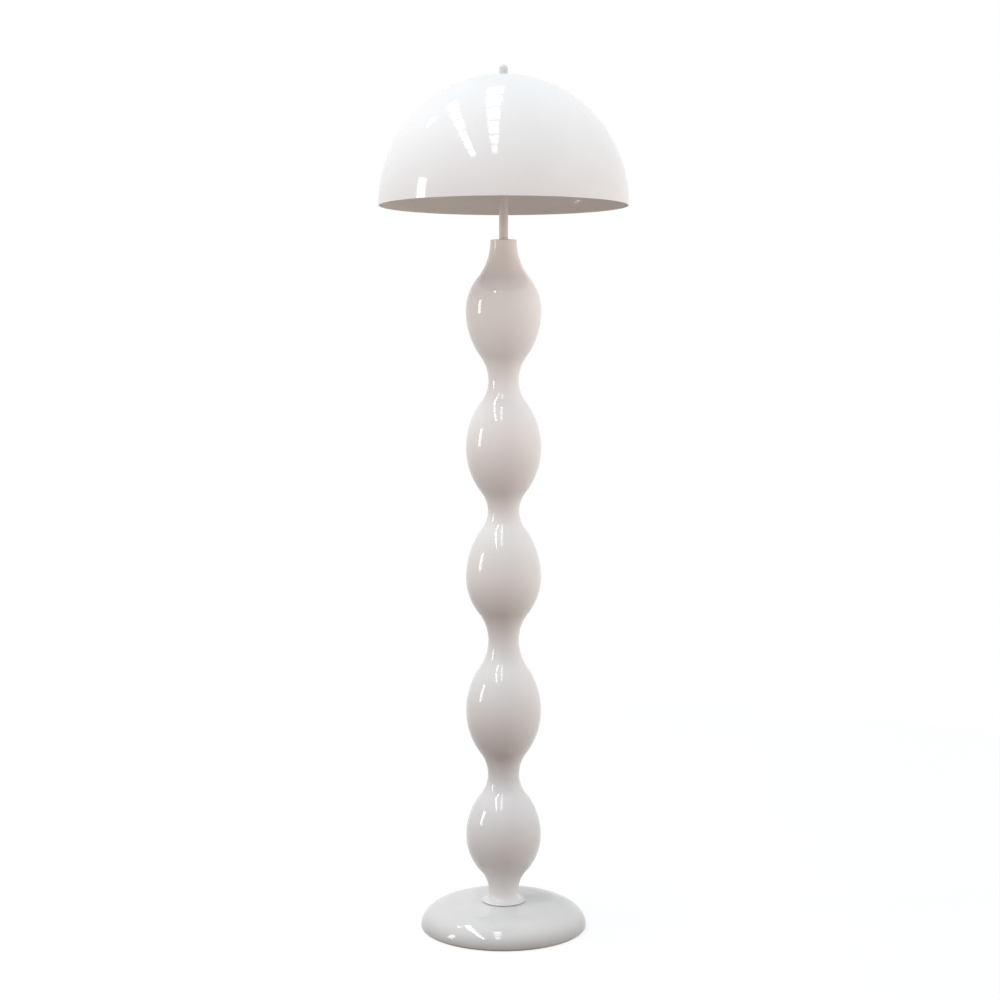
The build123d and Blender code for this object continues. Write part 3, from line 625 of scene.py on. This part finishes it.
def lampholder_cup(material):
    (_, _, bottom), (rim, _, top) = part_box("holder_cup")
    foot, wall, cone, edge = 0.0110, 0.0010, 0.0090, 0.0004

    def flare(way, offset, rise):
        angles = [radians(10 * number) for number in range(10)][::way]
        return [
            (foot - offset + (rim - foot) * sin(angle), bottom + rise + cone * (1 - cos(angle)))
            for angle in angles
        ]

    bead_sunk, bead_drop, bead_proud = 0.0003, 0.0050, 0.0004
    belt = bead(rim - bead_sunk, top - bead_drop, bead_proud, 4)
    outline = [(NIPPLE_BORE, bottom), *flare(1, 0, 0), *belt]
    outline += [(rim, top - edge), (rim - edge, top), (rim - wall, top), *flare(-1, wall, wall)]
    cup = spun("lampholder_cup", [*outline, (NIPPLE_BORE, bottom + wall)])
    cut_round_hole(cup, (0, -rim, top), *KEY_HOLE, ALONG_Y)
    finish_piece(cup, material, "stand", "holder_cup")


def switch_key(material):
    """A flat oval key with rounded edges, on a shaft with a ribbed collar."""
    (_, front, low), (half, back, high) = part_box("switch_key")
    height = (low + high) / 2
    thick, rounding = 0.0040, 0.0012
    deselect()
    bpy.ops.mesh.primitive_cylinder_add(vertices=FINE_STEPS, radius=half, depth=thick, rotation=ALONG_Y)
    key = named("switch_key_knob")
    key.scale = (1, (high - low) / 2 / half, 1)
    key.location = (0, front + thick / 2, height)
    bpy.ops.object.transform_apply(location=True, rotation=True, scale=True)
    apply_modifier(key, "BEVEL", width=rounding, segments=4, limit_method="ANGLE")
    ribs, rib_depth, grip = 18, 0.05, 0.0028
    collar_radius, collar_length, chamfer, collar_sunk = 0.0034, 0.0070, (0.0004, 0.0005), 0.0004
    face = collar_radius - chamfer[0]
    outline = [(0, 0), (face, 0), (collar_radius, chamfer[1]), (collar_radius, collar_length - chamfer[1])]
    outline += [(face, collar_length), (0, collar_length)]
    place = (0, front + thick - collar_sunk, height)
    collar = spun("key_collar", outline, steps=ribs * 4, along_y=True, centre=place)
    for point in collar.data.vertices:
        offset = Vector((point.co.x, point.co.z - height))
        if offset.length > grip:
            turn = Vector((1, 0)).angle_signed(offset, 0.0)
            offset *= 1 - rib_depth * (0.5 + 0.5 * cos(ribs * turn))
            point.co.x, point.co.z = offset.x, height + offset.y
    shaft_radius, shaft_sunk, reach = 0.0020, 0.0002, back - front - thick
    outline = [(0, 0), (shaft_radius, 0), (shaft_radius, reach), (0, reach)]
    place = (0, front + thick - shaft_sunk, height)
    shaft = spun("key_shaft", outline, steps=DRILL_STEPS, along_y=True, centre=place)
    for part in (collar, shaft):
        apply_modifier(key, "BOOLEAN", operation="UNION", object=part, solver="EXACT")
        bpy.data.objects.remove(part)
    settle(key)
    finish_piece(key, material, "switch", "switch_key")


def hex_nut(name, node, bore, material):
    """A six-sided nut with its corners turned down at both faces."""
    low, high = (Vector(corner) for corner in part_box(node))
    corner, thick = high.x, high.z - low.z
    middle = (0, 0, (low.z + high.z) / 2)
    flats_forward = (0, 0, radians(30))
    deselect()
    bpy.ops.mesh.primitive_cylinder_add(
        vertices=6, radius=corner, depth=thick, location=middle, rotation=flats_forward
    )
    nut = named(name)
    bpy.ops.object.transform_apply(location=True, rotation=True, scale=True)
    turned = corner * 0.10
    face = corner - turned
    outline = [(0, low.z), (face, low.z), (corner, low.z + turned * 0.5), (corner, high.z - turned * 0.5)]
    cone = spun("turning", [*outline, (face, high.z), (0, high.z)])
    apply_modifier(nut, "BOOLEAN", operation="INTERSECT", object=cone, solver="EXACT")
    bpy.data.objects.remove(cone)
    cut_round_hole(nut, middle, bore, 4 * thick)
    finish_piece(nut, material, "stand", node)


def harp_ferrule(name, node, body, material):
    """A drawn sleeve with a rolled lip at its foot and three grip beads."""
    low, high = (Vector(corner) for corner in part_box(node))
    centre = ((low.x + high.x) / 2, 0, 0)
    outer, bore = (high.x - low.x) / 2, 0.00183
    rounding, lip, lip_inset, neck = 0.0006, 0.0005, 0.0003, 0.0014
    slim = outer - rounding
    bead_heights = (0.0060, 0.0078, 0.0096)
    bottom, top = low.z, high.z
    outline = [(bore, bottom), (outer - lip_inset, bottom)]
    outline += bend((outer - lip, bottom + rounding), lip, -60, 90, 5)
    outline += [(slim, bottom + neck)]
    for bead_height in bead_heights:
        outline += bead(slim, bottom + bead_height, lip)
    outline += [*bend((slim - rounding, top - rounding), rounding, 0, 90, 4), (bore, top)]
    ferrule = spun(name, outline, steps=FERRULE_STEPS, centre=centre)
    finish_piece(ferrule, material, body, node)


# ---------------------------------------------------------------- base
def felt_pad(material):
    (_, _, bottom), (radius, _, top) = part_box("base_felt")
    edge, screw_room = 0.0007, 0.0040
    outline = [(0, bottom), *bend((radius - edge, bottom + edge), edge, -90, 0, 4)]
    outline += [*bend((radius - edge, top - edge), edge, 0, 90, 4), (0, top)]
    pad = spun("felt_pad", outline, steps=FELT_STEPS)
    for number in (1, 2, 3):
        head_low, head_high = (Vector(corner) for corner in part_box(f"plate_screw_{number}"))
        centre = (head_low + head_high) / 2
        cut_round_hole(pad, (centre.x, centre.y, top / 2), screw_room, 4 * top)
    finish_piece(pad, material, "stand", "base_felt")


def cord_bushing(material):
    low, high = (Vector(corner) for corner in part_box("cord_bushing"))
    centre = (0, low.y, (low.z + high.z) / 2)
    length, flange = high.y - low.y, (high.x - low.x) / 2
    sleeve, bore, thick, rounding = 0.0050, 0.0035, 0.0015, 0.0010
    outline = [(bore, 0), (sleeve, 0), (sleeve, length - thick), (flange, length - thick)]
    outline += bend((flange - rounding, length - rounding), rounding, 0, 90, 5)
    outline += bend((bore + rounding, length - rounding), rounding, 90, 180, 5)
    bushing = spun("inlet_bushing", outline, steps=FINE_STEPS, along_y=True, centre=centre)
    finish_piece(bushing, material, "stand", "cord_bushing")


# ---------------------------------------------------------------- column
def half_bulb(neck, belly, share, wall, steps):
    """Points from a neck to a belly along two tangent arcs, upright at both ends, moved in by the wall."""
    rise = belly[1] - neck[1]
    way = 1 if rise > 0 else -1
    turn = 2 * atan2(belly[0] - neck[0], abs(rise))
    radii = abs(rise) / sin(turn)
    belly_radius = share * radii - wall
    neck_radius = (1 - share) * radii + wall
    angles = [turn * number / steps for number in range(steps + 1)]
    lower = [
        (neck[0] - wall + neck_radius * (1 - cos(angle)), neck[1] + way * neck_radius * sin(angle))
        for angle in angles
    ]
    upper = [
        (belly[0] - wall - belly_radius * (1 - cos(angle)), belly[1] - way * belly_radius * sin(angle))
        for angle in reversed(angles)
    ]
    return lower + upper[1:]


def column_side(foot_neck, wall, steps):
    """The bulbs' side, from the neck over the foot to the neck under the collar."""
    side = []
    height = foot_neck
    for rises, shares, lower, upper in zip(BULB_RISES, BELLY_SHARES, NECKS, NECKS[1:]):
        belly = (BELLY, height + rises[0])
        side += half_bulb((lower, height), belly, shares[0], wall, steps)[:-1]
        height = belly[1] + rises[1]
        side += half_bulb((upper, height), belly, shares[1], wall, steps)[:0:-1]
    return [*side, (NECKS[-1] - wall, height)]


def turned_column(material):
    """The column's shell, as a closed wall: foot flare, five bulbs, collar and the bore within."""
    (_, _, bottom), (_, _, top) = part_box("column_shell")
    foot_neck = bottom + FOOT_RISE
    lip_centre = (FOOT - FOOT_LIP, bottom + FOOT_LIP)
    reach, rise = lip_centre[0] - NECKS[0], FOOT_RISE - 2 * FOOT_LIP
    sweep = range(267, 180, -3)    # degrees, from the lip up to the neck
    flare = [
        (lip_centre[0] + reach * cos(radians(angle)), foot_neck + rise * sin(radians(angle)))
        for angle in sweep
    ]
    ceiling = top - COLLAR_SOLID
    inside = [point for point in column_side(foot_neck, COLUMN_WALL, BORE_POINTS) if point[1] < ceiling]
    outline = [
        (NECKS[0] - COLUMN_WALL, bottom),
        *bend(lip_centre, FOOT_LIP, -90, 90, 10),
        *flare,
        *column_side(foot_neck, 0, SIDE_POINTS)[:-1],
        *bend((NECKS[-1] - COLLAR_EDGE, top - COLLAR_EDGE), COLLAR_EDGE, 0, 90, 5),
        (COLLAR_RECESS, top),
        (COLLAR_RECESS, top - COLLAR_RECESS_DEPTH),
        (COLLAR_BORE, top - COLLAR_RECESS_DEPTH),
        (COLLAR_BORE, ceiling),
        (inside[-1][0], ceiling),
        *reversed(inside),
    ]
    column = spun("turned_column", outline, steps=COLUMN_STEPS)
    finish_piece(column, material, "stand", "column_shell")


# ---------------------------------------------------------------- dressing the carried-over nodes
def dress(material, *names):
    for name in names:
        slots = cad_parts[name].data.materials
        slots.clear()
        slots.append(material)


def dress_lamp():
    lacquer = white_lacquer()
    brass = metal("plated brass", *BRASS, 0.20)
    steel = metal("zinc plated steel", *ZINC, 0.30)
    tin = metal("drawn aluminium", *ALUMINIUM, 0.26)
    black = moulded_black()
    soft_black = rubber("black rubber", *BLACK_RUBBER)
    soft_grey = rubber("grey rubber", *GREY_RUBBER)
    wool = felt()
    dress(lacquer, "column_shell", "column_cap")
    # the base's lacquer, with painted shade along its foot
    dress(white_lacquer("gloss white base lacquer", BASE_TONE, BASE_PAINTED_SHADE), "base_shell")
    dress(shade_enamel(), "shade")
    dress(satin_paint("stem paint", *STEM_PAINT, 0.26), "stem_tube")
    dress(satin_paint("finial paint", *FINIAL_PAINT, 0.45), "finial")
    dress(cast_iron(), "base_weight")
    dress(steel, "base_plate", "clamp_washer", "clamp_nut", "stop_pin")
    dress(steel, "plate_screw_1", "plate_screw_2", "plate_screw_3")
    dress(soft_grey, "foot_gasket")
    dress(soft_black, "stem_grommet", "cord_bushing")
    dress(black, "foot_bush", "holder_core", "switch_key")
    dress(brass, "stem_plug", "nipple", "harp_saddle", "saddle_nut", "harp_bow", "harp_stud")
    dress(brass, "harp_sleeve_left", "harp_sleeve_right")
    dress(brass, "holder_cup", "holder_shell", "thread_shell", "centre_contact")
    dress(tin, "lamp_cap")
    dress(opal_glass(), "lamp_glass")
    dress(wool, "base_felt")
    turned_column(lacquer)
    bulb_cap(tin, black, tin)
    lampholder_shell(brass)
    lampholder_cup(brass)
    switch_key(black)
    hex_nut("saddle_hex_nut", "saddle_nut", NIPPLE_BORE, brass)
    hex_nut("clamp_hex_nut", "clamp_nut", CLAMP_BORE, steel)
    harp_ferrule("harp_ferrule_left", "harp_sleeve_left", "sleeve_left", brass)
    harp_ferrule("harp_ferrule_right", "harp_sleeve_right", "sleeve_right", brass)
    felt_pad(wool)
    cord_bushing(soft_black)


# ---------------------------------------------------------------- stage and light
def seen_directly(tree):
    """1 for the camera, mirrors and glass, 0 for the light that the scene throws on the lamp."""
    path = add_node(tree, "LightPath").outputs
    mirrored = calc(tree, "MAXIMUM", path["Is Camera Ray"], path["Is Glossy Ray"])
    return calc(tree, "MAXIMUM", mirrored, path["Is Transmission Ray"])


def room_world():
    world = bpy.data.worlds.new("white room")
    bpy.context.scene.world = world
    world.use_nodes = True
    tree = world.node_tree
    tree.nodes.clear()
    direction = add_node(tree, "TexCoord").outputs["Generated"]
    height = add_node(tree, "SeparateXYZ", {"Vector": direction}).outputs["Z"]
    flat = add_node(tree, "VectorMath", {0: direction, 1: (1, 1, 0)}, operation="MULTIPLY").outputs["Vector"]
    level = add_node(tree, "VectorMath", {0: flat}, operation="NORMALIZE").outputs["Vector"]
    across = add_node(tree, "SeparateXYZ", {"Vector": level}).outputs
    lower = upper = (0, 0, 0)
    for (axis, side), low_light, high_light in WALLS.values():
        toward = calc(tree, "MAXIMUM", calc(tree, "MULTIPLY", across[axis], side), 0.0)
        share = calc(tree, "MULTIPLY", toward, toward)
        lower = summed(tree, lower, scaled(tree, low_light, share))
        upper = summed(tree, upper, scaled(tree, high_light, share))
    colour = mixed(tree, eased(tree, height, *FAR_FLOOR_TO_WALL), FAR_FLOOR, lower)
    colour = mixed(tree, eased(tree, height, *WALL_TO_UPPER), colour, upper)
    colour = mixed(tree, eased(tree, height, *UPPER_TO_CEILING), colour, CEILING)
    room = add_node(tree, "Background", {"Color": colour})
    white = add_node(tree, "Background", {"Color": (1, 1, 1, 1)})
    shown = add_node(tree, "MixShader", {0: seen_directly(tree), 1: room.outputs[0], 2: white.outputs[0]})
    add_node(tree, "OutputWorld", {"Surface": shown.outputs[0]})


def floor():
    deselect()
    bpy.ops.mesh.primitive_circle_add(vertices=FLOOR_STEPS, radius=FLOOR_RADIUS, fill_type="NGON")
    plane = named("floor")
    material = bpy.data.materials.new("pale floor")
    material.use_nodes = True
    tree = material.node_tree
    tree.nodes.clear()
    glow = add_node(tree, "Emission", {"Color": (1, 1, 1, 1), "Strength": FLOOR_WHITE})
    matte = add_node(tree, "BsdfDiffuse", {"Color": (FLOOR_SHADOW, FLOOR_SHADOW, FLOOR_SHADOW, 1)})
    pale = add_node(tree, "AddShader", {0: glow.outputs[0], 1: matte.outputs[0]})
    warm = add_node(tree, "BsdfDiffuse", {"Color": (*FLOOR_WARM, 1)})
    shown = add_node(tree, "MixShader", {0: seen_directly(tree), 1: warm.outputs[0], 2: pale.outputs[0]})
    add_node(tree, "OutputMaterial", {"Surface": shown.outputs[0]})
    plane.data.materials.append(material)


def pane(name, centre, size, radiance, tint, turn):
    data = bpy.data.lights.new(name, "AREA")
    data.shape = "RECTANGLE"
    data.size, data.size_y = size
    data.energy = radiance * pi * size[0] * size[1]
    data.color = tint
    light = bpy.data.objects.new(name, data)
    bpy.context.scene.collection.objects.link(light)
    light.location = centre
    light.rotation_euler = turn


def lights():
    for name, (middle, width, length, turn, radiance) in SKYLIGHTS.items():
        row = Euler((0, 0, radians(-turn)))
        pitch = (length + GLAZING_BAR) / PANES
        for number in range(PANES):
            along = Vector((0, (number - (PANES - 1) / 2) * pitch, 0))
            along.rotate(row)
            centre = Vector((*middle, SKYLIGHT_HEIGHT)) + along
            pane(f"{name}_{number + 1}", centre, (width, pitch - GLAZING_BAR), radiance, SKYLIGHT_TINT, row)
    for name, (centre, size, radiance) in WINDOWS.items():
        facing = (LAMP_MIDDLE - Vector(centre)).to_track_quat("-Z", "Y").to_euler()
        pane(name, centre, size, radiance, WINDOW_TINT, facing)


def camera():
    data = bpy.data.cameras.new("camera")
    data.lens = CAMERA_LENS
    data.sensor_width = 36
    data.shift_x, data.shift_y = CAMERA_SHIFT
    eye = bpy.data.objects.new("camera", data)
    bpy.context.scene.collection.objects.link(eye)
    eye.location = (0, -CAMERA_DISTANCE, CAMERA_HEIGHT)
    eye.rotation_euler = (radians(90 - CAMERA_TILT), 0, 0)
    bpy.context.scene.camera = eye


camera()
dress_lamp()
floor()
room_world()
lights()
bpy.context.scene.view_settings.view_transform = "Standard"
